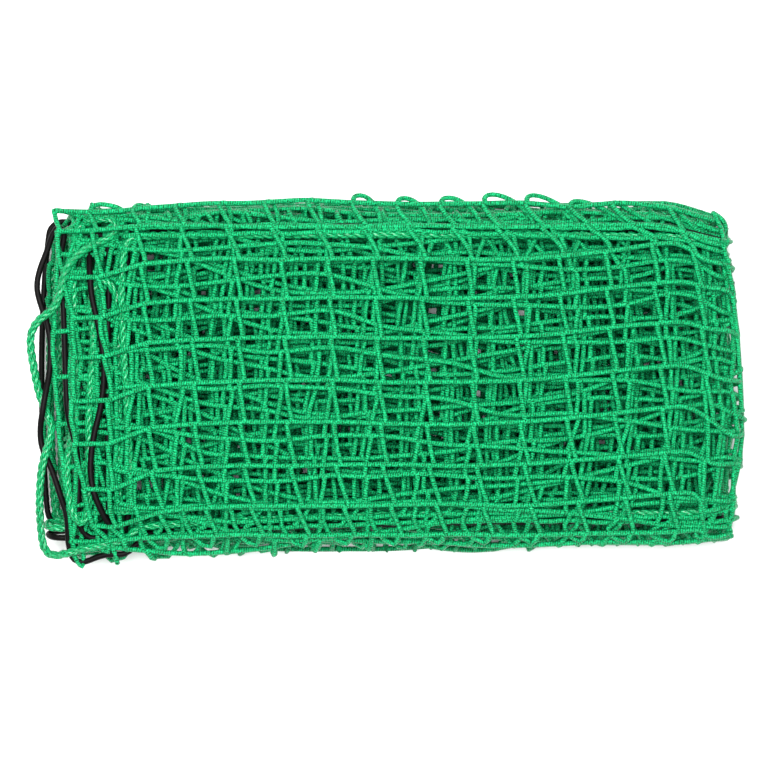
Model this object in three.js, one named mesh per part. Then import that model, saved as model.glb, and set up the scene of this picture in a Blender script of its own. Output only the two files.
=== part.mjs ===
// A trailer cargo net, folded for storage: one rectangle of knitted net with a rope and an elastic
// cord round its edge. It is folded five wide, and that strip is folded four long.
// Millimetres, +Z up. X runs along the bundle, Y across it, and the bundle lies on z = 0.
import * as THREE from "three";
import { mergeVertices } from "three/addons/utils/BufferGeometryUtils.js";

const NET_THICKNESS = 2.2;
const TIGHT_RISE = 3.7; // from a layer to the next one at a plain fold
const WIDE_RISE = 12.8; // the same at a fold that holds a free edge and its two cords
const STRIP_COUNT = 4; // how often the strip of five layers lies over itself
const STRIP_GAP = 1.2;
const SECTION_RISE = 2 * TIGHT_RISE + WIDE_RISE; // lowest layer to highest, middle to middle
const SECTION_MIDDLE = SECTION_RISE / 2;
const STRIP_PITCH = SECTION_RISE + NET_THICKNESS + STRIP_GAP;
const BUNDLE_HEIGHT = STRIP_COUNT * STRIP_PITCH - STRIP_GAP;
const FAR_FOLD_Y = 166; // centres of the folds along the two long sides
const NEAR_FOLD_Y = -152;
const LEFT_TURN_X = -320; // centres of the turns at the two ends
const RIGHT_TURN_X = 320;
const NET_END_X = { low: -250, top: -234 }; // where the net's two short edges end

const ROPE_RADIUS = 4;
const ELASTIC_RADIUS = 3;
const CORD_SIDES = 8;
const CORD_PITCH = 8.2; // rope to elastic, side by side
const ROPE_TURN = 10; // rope to rope, where it turns back beside itself
const ELASTIC_TURN = 8.4;
const EDGE_TO_CORDS = 12; // from the net's short edge to its first cord
const EDGE_GAP = 33; // from a long side's fold to the net edge tucked into it
const JOINT_GAP = 4; // between the two ends of one cord

const LAYER_STEPS = 4;
const STRIP_STEPS = 5;
const TURN_STEPS = 6;
const CORNER_STEPS = 3;
const RUN_STEPS = 5;

// The five layers in the order in which the net runs through them, with their height at each side.
// A layer with a free edge lies inside the fold of the layers round it.
const LAYERS = [
  { runs: "to near", farHeight: WIDE_RISE / 2, nearHeight: TIGHT_RISE, freeEdge: "far" },
  { runs: "to far", farHeight: 0, nearHeight: 0, freeEdge: "" },
  { runs: "to near", farHeight: WIDE_RISE, nearHeight: 2 * TIGHT_RISE, freeEdge: "" },
  { runs: "to far", farHeight: SECTION_RISE, nearHeight: SECTION_RISE, freeEdge: "" },
  {
    runs: "to near",
    farHeight: SECTION_RISE - TIGHT_RISE,
    nearHeight: SECTION_RISE - WIDE_RISE / 2,
    freeEdge: "near",
  },
];

// The five runs of the two cords across the lowest short edge, side by side, starting at the net.
const EDGE_RUNS = [
  { runs: "to near", first: "rope", height: 7.5, turnAfter: ELASTIC_TURN },
  { runs: "to far", first: "elastic", height: 4.6, turnAfter: ROPE_TURN },
  { runs: "to near", first: "rope", height: 9, turnAfter: ELASTIC_TURN },
  { runs: "to far", first: "elastic", height: 14, turnAfter: ROPE_TURN },
  { runs: "to near", first: "rope", height: 12, turnAfter: 0 },
];
const FAR_RUN_END = 150; // where the runs turn round
const NEAR_RUN_END = -105; // the same, clear of the cords that go back along the side
const CORNER_RADIUS = { elastic: 6 + CORD_PITCH, rope: 6 };
const SIDE_INSET = { elastic: 16, rope: 16 + CORD_PITCH }; // from a long side's fold inwards

// The cords across the top short edge, where they lie loose over the strip below and over each other.
// Each row is x, y and the height over that strip, from the near side to the far side.
const TOP_EDGE_HEIGHT = (STRIP_COUNT - 1) * STRIP_PITCH;
const TOP_EDGE_ROUTES = {
  elastic: [
    [-240, -157, 7.5],
    [-250, -167, 7.5],
    [-265, -166, 8],
    [-278, -169, 6],
    [-291, -175, 4.5],
    [-302, -172, 3.6],
    [-306, -155, 3.6],
    [-305, -130, 3.6],
    [-312, -108, 3.6],
    [-320, -83, 3.6],
    [-329, -65, 3.6],
    [-331, -52, 3.6],
    [-330, -40, 8],
    [-328, -30, 12],
    [-326, -18, 12.5],
    [-324, -5, 9],
    [-322, 8, 4.5],
    [-321, 24, 3.6],
    [-321, 40, 3.6],
    [-325, 60, 3.6],
    [-331, 75, 3.6],
    [-335, 92, 3.6],
    [-331, 110, 3.6],
    [-325, 125, 4],
    [-321, 141, 4],
    [-315, 151, 4],
    [-308, 145, 3.6],
    [-311, 128, 3.6],
    [-314, 100, 3.6],
    [-309, 82, 3.6],
    [-308, 55, 3.6],
    [-307, 20, 3.6],
    [-306, -8, 3.6],
    [-305, -25, 5],
    [-302, -38, 10.5],
    [-299, -48, 13],
    [-296, -60, 12],
    [-294, -76, 7],
    [-294, -100, 3.6],
    [-295, -135, 3.6],
    [-289, -149, 3.6],
    [-278, -152, 3.6],
    [-269, -145, 3.6],
    [-266, -130, 3.6],
    [-266, -90, 3.6],
    [-266, -45, 3.6],
    [-266, 0, 3.6],
    [-266, 45, 3.6],
    [-265, 90, 3.6],
    [-265, 125, 3.6],
    [-270, 140, 3.6],
    [-279, 144, 3.6],
    [-285, 138, 3.6],
    [-284, 126, 3.6],
    [-283, 112, 8],
    [-282, 98, 12],
    [-281, 84, 12.4],
    [-277, 66, 12.4],
    [-271, 40, 12.4],
    [-268, 8, 12.4],
    [-271, -22, 12.4],
    [-278, -48, 12.4],
    [-282, -75, 12.4],
    [-281, -98, 12.4],
    [-274, -119, 12.4],
    [-264, -139, 12],
    [-255, -146, 9],
    [-248, -138, 4.6],
    [-246, -122, 3.6],
    [-246, -60, 3.6],
    [-246, 0, 3.6],
    [-246, 60, 3.6],
    [-247, 115, 3.6],
    [-249, 132, 3.6],
    [-248, 143, 6],
    [-242, 150, 11],
  ],
  rope: [
    [-240, -142, 8.5],
    [-248, -151, 8.5],
    [-262, -156, 10.5],
    [-276, -158, 12.6],
    [-292, -161, 12.6],
    [-305, -165, 12.2],
    [-318, -168, 8],
    [-327, -165, 5],
    [-331, -154, 4.6],
    [-332, -128, 4.6],
    [-331, -98, 5],
    [-329, -83, 10],
    [-326, -72, 12.5],
    [-322, -60, 11.5],
    [-319, -47, 6],
    [-322, -35, 4.2],
    [-328, -22, 4.2],
    [-333, -8, 4.2],
    [-338, 18, 4.2],
    [-341, 40, 4.2],
    [-338, 52, 6],
    [-330, 61, 12],
    [-320, 67, 12.4],
    [-313, 77, 12.4],
    [-309, 92, 12.4],
    [-306, 108, 13.2],
    [-294, 122, 13],
    [-283, 130, 12],
    [-272, 135, 11.6],
    [-262, 140, 11.6],
    [-256, 149, 10.5],
    [-262, 157, 7],
    [-275, 158, 4.6],
    [-291, 153, 4.4],
    [-299, 140, 4.4],
    [-300, 115, 4.4],
    [-298, 80, 4.4],
    [-297, 40, 4.4],
    [-296, 0, 4.4],
    [-296, -25, 4.2],
    [-298, -42, 4.2],
    [-302, -60, 4.2],
    [-305, -75, 4.4],
    [-305, -92, 4.4],
    [-303, -112, 5],
    [-299, -128, 10.5],
    [-292, -137, 12.4],
    [-286, -130, 10],
    [-284, -112, 4.6],
    [-284, -60, 4.4],
    [-284, -20, 4.4],
    [-281, 20, 4.4],
    [-279, 45, 4.4],
    [-282, 66, 4.4],
    [-281, 86, 4.4],
    [-276, 96, 7],
    [-269, 99, 12.4],
    [-262, 93, 12.4],
    [-257, 80, 5.4],
    [-256, 60, 4.4],
    [-256, 0, 4.4],
    [-256, -60, 4.4],
    [-256, -108, 4.4],
    [-254, -121, 7],
    [-248, -126, 12],
    [-244, -117, 12.6],
    [-244, -95, 12.6],
    [-246, -30, 12.6],
    [-250, 33, 12.6],
    [-250, 48, 12.6],
    [-252, 75, 12.8],
    [-251, 110, 12.6],
    [-249, 128, 14.6],
    [-242, 139, 14.9],
  ],
};

// How far each strip's edges stray from a true rectangle, lowest strip first.
// Ends are read from the near side to the far side, and sides from left to right.
const STRAYS = [
  { left: [12, 4, 9], right: [-9, 3, -12], near: [-5, -2, 2], far: [-4, 1, -7] },
  { left: [8, -1, 13], right: [-3, -2, -8], near: [-12, 2, -2], far: [-7, -3, -2] },
  { left: [12, -2, 8], right: [-4, 3, -12], near: [-19, -2, 2], far: [-2, -4, -3] },
  { left: [17, -5, 14], right: [-2, 2, -10], near: [-26, 2, -2], far: [-4, 1, -5] },
];

const mix = (a, b, t) => a + (b - a) * t;
const clamp01 = (t) => Math.min(1, Math.max(0, t));

// A value along an edge from its start, middle and end values.
function alongEdge([start, middle, end], t) {
  const fromStart = start * (1 - t) * (1 - 2 * t);
  const fromMiddle = middle * 4 * t * (1 - t);
  return fromStart + fromMiddle + end * t * (2 * t - 1);
}

function strayAt(edge, level, t) {
  const row = clamp01(level) * (STRAYS.length - 1);
  const lower = Math.min(Math.floor(row), STRAYS.length - 2);
  const below = alongEdge(STRAYS[lower][edge], t);
  const above = alongEdge(STRAYS[lower + 1][edge], t);
  return mix(below, above, row - lower);
}

// Moves a point of the true fold to its place in the uneven bundle. Every piece goes through it.
function uneven(point) {
  const level = point.z / BUNDLE_HEIGHT;
  const acrossShare = clamp01((point.y - NEAR_FOLD_Y) / (FAR_FOLD_Y - NEAR_FOLD_Y));
  const alongShare = clamp01((point.x - LEFT_TURN_X) / (RIGHT_TURN_X - LEFT_TURN_X));
  const leftPull = clamp01(1 - 2 * alongShare) ** 2;
  const rightPull = clamp01(2 * alongShare - 1) ** 2;
  const nearPull = clamp01(1 - 2 * acrossShare) ** 2;
  const farPull = clamp01(2 * acrossShare - 1) ** 2;
  const endShift =
    leftPull * strayAt("left", level, acrossShare) + rightPull * strayAt("right", level, acrossShare);
  const sideShift =
    nearPull * strayAt("near", level, alongShare) + farPull * strayAt("far", level, alongShare);
  return new THREE.Vector3(point.x + endShift, point.y + sideShift, point.z);
}

const stripHeight = (strip) => SECTION_MIDDLE + NET_THICKNESS / 2 + strip * STRIP_PITCH;
const facesUp = (strip) => (strip % 2 === 0 ? 1 : -1);

// Stops along the strip from the lowest short edge to the top one: straight strips and their turns.
function foldStations() {
  const stations = [];
  for (let strip = 0; strip < STRIP_COUNT; strip++) {
    const heading = facesUp(strip);
    const startX = strip === 0 ? NET_END_X.low : heading > 0 ? LEFT_TURN_X : RIGHT_TURN_X;
    const endX = strip === STRIP_COUNT - 1 ? NET_END_X.top : heading > 0 ? RIGHT_TURN_X : LEFT_TURN_X;
    const firstStep = strip === 0 ? 0 : 1;
    for (let step = firstStep; step <= STRIP_STEPS; step++)
      stations.push({ strip, x: mix(startX, endX, step / STRIP_STEPS), turn: null });
    if (strip === STRIP_COUNT - 1) break;
    for (let step = 1; step <= TURN_STEPS; step++)
      stations.push({ strip, x: endX, turn: Math.PI * (step / TURN_STEPS - 0.5) });
  }
  return stations;
}
const STATIONS = foldStations();

// A point of the folded net: at a station, at y across the strip, at a height over its lowest layer.
function foldedPoint(station, y, height) {
  const up = facesUp(station.strip);
  const offset = height - SECTION_MIDDLE;
  const middle = stripHeight(station.strip);
  if (station.turn === null) return new THREE.Vector3(station.x, y, middle + up * offset);
  const radius = STRIP_PITCH / 2 - up * offset;
  const x = station.x + up * radius * Math.cos(station.turn);
  return new THREE.Vector3(x, y, middle + STRIP_PITCH / 2 + radius * Math.sin(station.turn));
}

// The middle line of the five layers, as points of y and height.
function layerLine() {
  const line = [];
  LAYERS.forEach((layer, index) => {
    const farY = FAR_FOLD_Y - (layer.freeEdge === "far" ? EDGE_GAP : 0);
    const nearY = NEAR_FOLD_Y + (layer.freeEdge === "near" ? EDGE_GAP : 0);
    const far = new THREE.Vector2(farY, layer.farHeight);
    const near = new THREE.Vector2(nearY, layer.nearHeight);
    const [start, end] = layer.runs === "to near" ? [far, near] : [near, far];
    for (let step = 0; step <= LAYER_STEPS; step++)
      line.push(start.clone().lerp(end, step / LAYER_STEPS));
    const next = LAYERS[index + 1];
    if (next) line.push(...sideFold(end, layer.runs, next));
  });
  return line;
}

// The half round from the end of one layer into the next, without its first and last point.
function sideFold(end, runs, next) {
  const nextHeight = runs === "to near" ? next.nearHeight : next.farHeight;
  const outwards = runs === "to near" ? -1 : 1;
  const radius = (nextHeight - end.y) / 2;
  const steps = Math.abs(radius) > ELASTIC_RADIUS ? 6 : 4;
  const points = [];
  for (let step = 1; step < steps; step++) {
    const angle = Math.PI * (step / steps - 0.5);
    const y = end.x + outwards * Math.abs(radius) * Math.cos(angle);
    points.push(new THREE.Vector2(y, end.y + radius + radius * Math.sin(angle)));
  }
  return points;
}

// The outline of a band of even thickness along an open line of points.
function bandShape(line, thickness) {
  const sides = [1, -1].map((side) =>
    line.map((point, index) => {
      const before = line[Math.max(0, index - 1)];
      const after = line[Math.min(line.length - 1, index + 1)];
      const along = after.clone().sub(before).normalize();
      return new THREE.Vector2(-along.y, along.x).multiplyScalar((side * thickness) / 2).add(point);
    }),
  );
  return new THREE.Shape([...sides[0], ...sides[1].reverse()]);
}

// Leaves a geometry with shared corners, as one closed surface.
function closedSurface(geometry) {
  geometry.deleteAttribute("normal");
  geometry.deleteAttribute("uv");
  const merged = mergeVertices(geometry, 1e-3);
  merged.computeVertexNormals();
  return merged;
}

// The net: the section of five layers, drawn out straight and then laid along the folds.
function netGeometry() {
  const lastStation = STATIONS.length - 1;
  const geometry = new THREE.ExtrudeGeometry(bandShape(layerLine(), NET_THICKNESS), {
    depth: lastStation,
    steps: lastStation,
    bevelEnabled: false,
  });
  const position = geometry.getAttribute("position");
  for (let i = 0; i < position.count; i++) {
    const station = STATIONS[Math.round(position.getZ(i))];
    const placed = uneven(foldedPoint(station, position.getX(i), position.getY(i)));
    position.setXYZ(i, placed.x, placed.y, placed.z);
  }
  return closedSurface(turnedOutwards(geometry));
}

// Swaps two corners of each triangle where the folding has turned the surface inside out.
function turnedOutwards(geometry) {
  const position = geometry.getAttribute("position");
  const [a, b, c] = [new THREE.Vector3(), new THREE.Vector3(), new THREE.Vector3()];
  let sixVolumes = 0;
  for (let i = 0; i < position.count; i += 3) {
    a.fromBufferAttribute(position, i);
    b.fromBufferAttribute(position, i + 1);
    c.fromBufferAttribute(position, i + 2);
    sixVolumes += a.dot(b.cross(c));
  }
  if (sixVolumes > 0) return geometry;
  for (let i = 0; i < position.count; i += 3) {
    b.fromBufferAttribute(position, i + 1);
    c.fromBufferAttribute(position, i + 2);
    position.setXYZ(i + 1, c.x, c.y, c.z);
    position.setXYZ(i + 2, b.x, b.y, b.z);
  }
  return geometry;
}

// How far past the net's end each cord lies on each run.
function runDistances() {
  let reach = EDGE_TO_CORDS;
  return EDGE_RUNS.map(({ first, turnAfter }) => {
    const second = first === "rope" ? "elastic" : "rope";
    const distances = { [first]: reach, [second]: reach + CORD_PITCH };
    reach += CORD_PITCH + turnAfter;
    return distances;
  });
}
const RUN_DISTANCES = runDistances();

// Points of an arc about a centre in the XY plane, angles in quarter turns.
function arc(centreX, centreY, radius, fromQuarter, toQuarter, steps, height) {
  const points = [];
  for (let step = 1; step < steps; step++) {
    const angle = (Math.PI / 2) * mix(fromQuarter, toQuarter, step / steps);
    const x = centreX + radius * Math.cos(angle);
    points.push(new THREE.Vector3(x, centreY + radius * Math.sin(angle), height(step / steps)));
  }
  return points;
}

// A cord across the lowest short edge: five runs with turns between them, from far side to near.
function edgeRoute(cord) {
  const radius = CORNER_RADIUS[cord];
  const inset = SIDE_INSET[cord];
  const points = [];
  EDGE_RUNS.forEach((run, index) => {
    const x = NET_END_X.low - RUN_DISTANCES[index][cord];
    const next = EDGE_RUNS[index + 1];
    const isLast = !next;
    const toNear = run.runs === "to near";
    const level = () => run.height;
    const firstY = FAR_FOLD_Y - inset - radius;
    if (index === 0) points.push(...arc(x + radius, firstY, radius, 1, 2, CORNER_STEPS, level));
    const startY = index === 0 ? firstY : toNear ? FAR_RUN_END : NEAR_RUN_END;
    const endY = isLast ? NEAR_FOLD_Y + inset + radius : toNear ? NEAR_RUN_END : FAR_RUN_END;
    for (let step = 0; step <= RUN_STEPS; step++)
      points.push(new THREE.Vector3(x, mix(startY, endY, step / RUN_STEPS), run.height));
    if (isLast) {
      points.push(...arc(x + radius, endY, radius, 2, 3, CORNER_STEPS, level));
      return;
    }
    const nextX = NET_END_X.low - RUN_DISTANCES[index + 1][cord];
    const turnRadius = (x - nextX) / 2;
    const [from, to] = toNear ? [0, -2] : [0, 2];
    const height = (t) => mix(run.height, next.height, t);
    points.push(...arc(x - turnRadius, endY, turnRadius, from, to, TURN_STEPS, height));
  });
  return points;
}

// A cord's whole way round the net's edge, in the net's long-side folds and across both ends.
function cordRoute(cord) {
  const inset = SIDE_INSET[cord];
  const farHeight = LAYERS[0].farHeight;
  const nearHeight = LAYERS[LAYERS.length - 1].nearHeight;
  const farSide = STATIONS.map((station) => foldedPoint(station, FAR_FOLD_Y - inset, farHeight));
  const nearSide = STATIONS.map((station) => foldedPoint(station, NEAR_FOLD_Y + inset, nearHeight));
  const topEdge = TOP_EDGE_ROUTES[cord].map(([x, y, z]) => new THREE.Vector3(x, y, TOP_EDGE_HEIGHT + z));
  const join = farSide[2];
  const start = join.clone().setX(join.x - JOINT_GAP / 2);
  const end = join.clone().setX(join.x + JOINT_GAP / 2);
  const lowPart = [start, ...farSide.slice(0, 2).reverse(), ...edgeRoute(cord), ...nearSide];
  const lastPart = [...farSide.slice(3).reverse(), end];
  return [...lowPart.map(uneven), ...topEdge, ...lastPart.map(uneven)];
}

// A line through chosen points, with one step of the cord at each of them.
class PointPath extends THREE.Curve {
  constructor(points) {
    super();
    this.points = points;
  }
  getPoint(t, target = new THREE.Vector3()) {
    const place = clamp01(t) * (this.points.length - 1);
    const index = Math.min(Math.floor(place), this.points.length - 2);
    return target.lerpVectors(this.points[index], this.points[index + 1], place - index);
  }
  getUtoTmapping(u) {
    return u;
  }
}

function cordGeometry(cord, radius) {
  const points = cordRoute(cord);
  const ring = [];
  for (let side = 0; side < CORD_SIDES; side++) {
    const angle = (2 * Math.PI * side) / CORD_SIDES;
    ring.push(new THREE.Vector2(radius * Math.cos(angle), radius * Math.sin(angle)));
  }
  const geometry = new THREE.ExtrudeGeometry(new THREE.Shape(ring), {
    steps: points.length - 1,
    extrudePath: new PointPath(points),
  });
  return closedSurface(turnedOutwards(geometry));
}

function namedMesh(name, geometry, finish) {
  const mesh = new THREE.Mesh(geometry, new THREE.MeshStandardMaterial(finish));
  mesh.name = name;
  return mesh;
}

const meshes = [
  namedMesh("net", netGeometry(), { color: 0x14b469, roughness: 0.55, metalness: 0 }),
  namedMesh("border_rope", cordGeometry("rope", ROPE_RADIUS), {
    color: 0x0a9659,
    roughness: 0.4,
    metalness: 0,
  }),
  namedMesh("elastic_cord", cordGeometry("elastic", ELASTIC_RADIUS), {
    color: 0x1e1c1c,
    roughness: 0.7,
    metalness: 0,
  }),
];

const bundle = new THREE.Group();
bundle.add(...meshes);
const box = new THREE.Box3().setFromObject(bundle);
const middle = box.getCenter(new THREE.Vector3());
bundle.position.set(-middle.x, -middle.y, -box.min.z);

export default bundle;
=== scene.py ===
# %% [markdown]
# # A folded trailer cargo net
# The real thing is one rectangle of knitted green net, with a twisted rope and a black elastic
# cord threaded round its edge. It is folded five wide, and that strip is folded four long.
# The CAD model gives the folds, the cords' routes and the size. Here every twine is made.

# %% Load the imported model
import math

import bpy
import numpy as np
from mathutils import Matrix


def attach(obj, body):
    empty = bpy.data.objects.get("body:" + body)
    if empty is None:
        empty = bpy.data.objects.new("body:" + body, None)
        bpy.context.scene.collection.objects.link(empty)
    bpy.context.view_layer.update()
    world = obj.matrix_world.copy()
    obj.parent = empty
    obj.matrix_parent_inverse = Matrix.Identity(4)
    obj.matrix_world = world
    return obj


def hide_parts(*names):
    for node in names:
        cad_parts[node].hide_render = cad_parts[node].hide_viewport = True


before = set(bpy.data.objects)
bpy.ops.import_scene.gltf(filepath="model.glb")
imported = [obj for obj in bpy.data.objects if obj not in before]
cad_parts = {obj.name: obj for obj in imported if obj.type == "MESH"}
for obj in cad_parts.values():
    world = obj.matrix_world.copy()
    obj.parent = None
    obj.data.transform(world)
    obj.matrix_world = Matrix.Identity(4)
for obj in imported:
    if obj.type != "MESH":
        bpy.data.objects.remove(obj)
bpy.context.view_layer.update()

MM = 0.001

# %% [markdown]
# ## Camera
# The photograph looks straight down on the bundle, so the camera does too. A long lens from far
# away keeps the lower layers from spreading out from under the upper ones.

# %% Camera
PHOTO_SIDE = 768
MM_PER_PIXEL = 0.957
TOP_PLANE = 85.0
CAMERA_DISTANCE = 2600.0
CAMERA_CLIP = 20.0
SENSOR_WIDTH = 36.0
CAMERA_PLACE = (-1.0, 0.5)


def make_camera():
    """Puts a camera over the bundle that shows the photograph's frame at the top of the net."""
    data = bpy.data.cameras.new("camera")
    data.sensor_width = SENSOR_WIDTH
    data.lens = SENSOR_WIDTH * CAMERA_DISTANCE / (PHOTO_SIDE * MM_PER_PIXEL)
    data.clip_end = CAMERA_CLIP
    camera = bpy.data.objects.new("camera", data)
    camera.location = np.array([*CAMERA_PLACE, TOP_PLANE + CAMERA_DISTANCE]) * MM
    bpy.context.scene.collection.objects.link(camera)
    bpy.context.scene.camera = camera
    print("camera lens:", round(data.lens, 1), "mm")


make_camera()

# %% [markdown]
# ## The folded strip
# These numbers are the CAD model's, in millimetres: five layers across the strip, which runs back
# and forth four times. They could be measured from the CAD mesh, but with its own numbers the net
# and both cords can be laid out on the very same folds.

# %% Sizes of the fold
STRIP_COUNT = 4
LAYER_COUNT = 5
TIGHT_RISE = 3.7
WIDE_RISE = 12.8
SECTION_RISE = 20.2
SECTION_MIDDLE = 10.1
STRIP_PITCH = 23.6
FIRST_MIDDLE = 11.2
BUNDLE_HEIGHT = 93.2
FAR_FOLD_Y = 166.0
NEAR_FOLD_Y = -152.0
LEFT_TURN_X = -320.0
RIGHT_TURN_X = 320.0
LOW_END_X = -250.0
FRAME_SHIFT = np.array([-0.4255, 2.4732, 0.0])

# How far each strip's edges stray from a true rectangle, lowest strip first. Each row has the
# values at the edge's start, middle and end.
STRAYS = {
    "left": [(12, 4, 9), (8, -1, 13), (12, -2, 8), (17, -5, 14)],
    "right": [(-9, 3, -12), (-3, -2, -8), (-4, 3, -12), (-2, 2, -10)],
    "near": [(-5, -2, 2), (-12, 2, -2), (-19, -2, 2), (-26, 2, -2)],
    "far": [(-4, 1, -7), (-7, -3, -2), (-2, -4, -3), (-4, 1, -5)],
}


def share(value, start, end):
    """How far a value is from start to end, kept between 0 and 1."""
    return np.clip((value - start) / (end - start), 0.0, 1.0)


def smooth(value, start, end):
    """The same as share, with a soft start and stop."""
    part = share(value, start, end)
    return part * part * (3 - 2 * part)


def along_edge(row, t):
    """A value along an edge from its start, middle and end values."""
    return row[0] * (1 - t) * (1 - 2 * t) + row[1] * 4 * t * (1 - t) + row[2] * t * (2 * t - 1)


def stray_at(edge, level, t):
    """The stray of one edge at a height share and a place along it."""
    rows = np.array([along_edge(row, t) for row in STRAYS[edge]])
    place = np.clip(level, 0, 1) * (len(rows) - 1)
    lower = np.minimum(place.astype(int), len(rows) - 2)
    index = np.arange(len(place))
    return rows[lower, index] + (rows[lower + 1, index] - rows[lower, index]) * (place - lower)


def uneven(points):
    """Moves points of the true fold to their places in the uneven bundle, as the CAD does."""
    x, y, z = points.T
    level = z / BUNDLE_HEIGHT
    across = share(y, NEAR_FOLD_Y, FAR_FOLD_Y)
    along = share(x, LEFT_TURN_X, RIGHT_TURN_X)
    left = np.clip(1 - 2 * along, 0, 1) ** 2 * stray_at("left", level, across)
    right = np.clip(2 * along - 1, 0, 1) ** 2 * stray_at("right", level, across)
    near = np.clip(1 - 2 * across, 0, 1) ** 2 * stray_at("near", level, along)
    far = np.clip(2 * across - 1, 0, 1) ** 2 * stray_at("far", level, along)
    return np.column_stack([x + left + right, y + near + far, z])


print("strips:", STRIP_COUNT, "layers:", STRIP_COUNT * LAYER_COUNT)

# %% [markdown]
# ## How the bundle settles
# Loose layers sink towards the edges of a bundle. A cloth simulation of twenty open layers would
# take far too long, so one function lowers everything, net and cords alike, by its height.

# %% Settling
SIDE_DROP = 0.22
END_DROP = 0.10
SIDE_REACH = 70.0
END_REACH = 90.0
NEAR_RIM_Y = NEAR_FOLD_Y - 20
FAR_RIM_Y = FAR_FOLD_Y + 10
RIGHT_RIM_X = RIGHT_TURN_X + 20


def settle(points):
    """Lowers points near the bundle's sides and right end. The floor stays where it is."""
    x, y, z = points.T
    near = 1 - smooth(y, NEAR_RIM_Y, NEAR_RIM_Y + SIDE_REACH)
    far = smooth(y, FAR_RIM_Y - SIDE_REACH, FAR_RIM_Y)
    end = smooth(x, RIGHT_RIM_X - END_REACH, RIGHT_RIM_X)
    keep = 1 - SIDE_DROP * (near + far) - END_DROP * end
    return np.column_stack([x, y, z * keep])


print("top at the sides:", round(BUNDLE_HEIGHT * (1 - SIDE_DROP), 1), "mm")

# %% [markdown]
# ## The right corners
# In the photograph the two right corners are blunt. One pull that grows towards each corner does
# this for all pieces at once, so that they stay beside each other.

# %% Blunt corners
CORNER_PULL = {"far": 16.0, "near": 7.0}
CORNER_X = (270.0, 345.0)
CORNER_FAR_Y = (90.0, 175.0)
CORNER_NEAR_Y = (90.0, 155.0)


def round_corners(points):
    """Pulls the bundle in at its two right corners."""
    x, y, z = points.T
    right = smooth(x, *CORNER_X)
    far = CORNER_PULL["far"] * right * smooth(y, *CORNER_FAR_Y)
    near = CORNER_PULL["near"] * right * smooth(-y, *CORNER_NEAR_Y)
    return np.column_stack([x, y - far + near, z])


print("corners pulled in by", CORNER_PULL, "mm")
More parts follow.
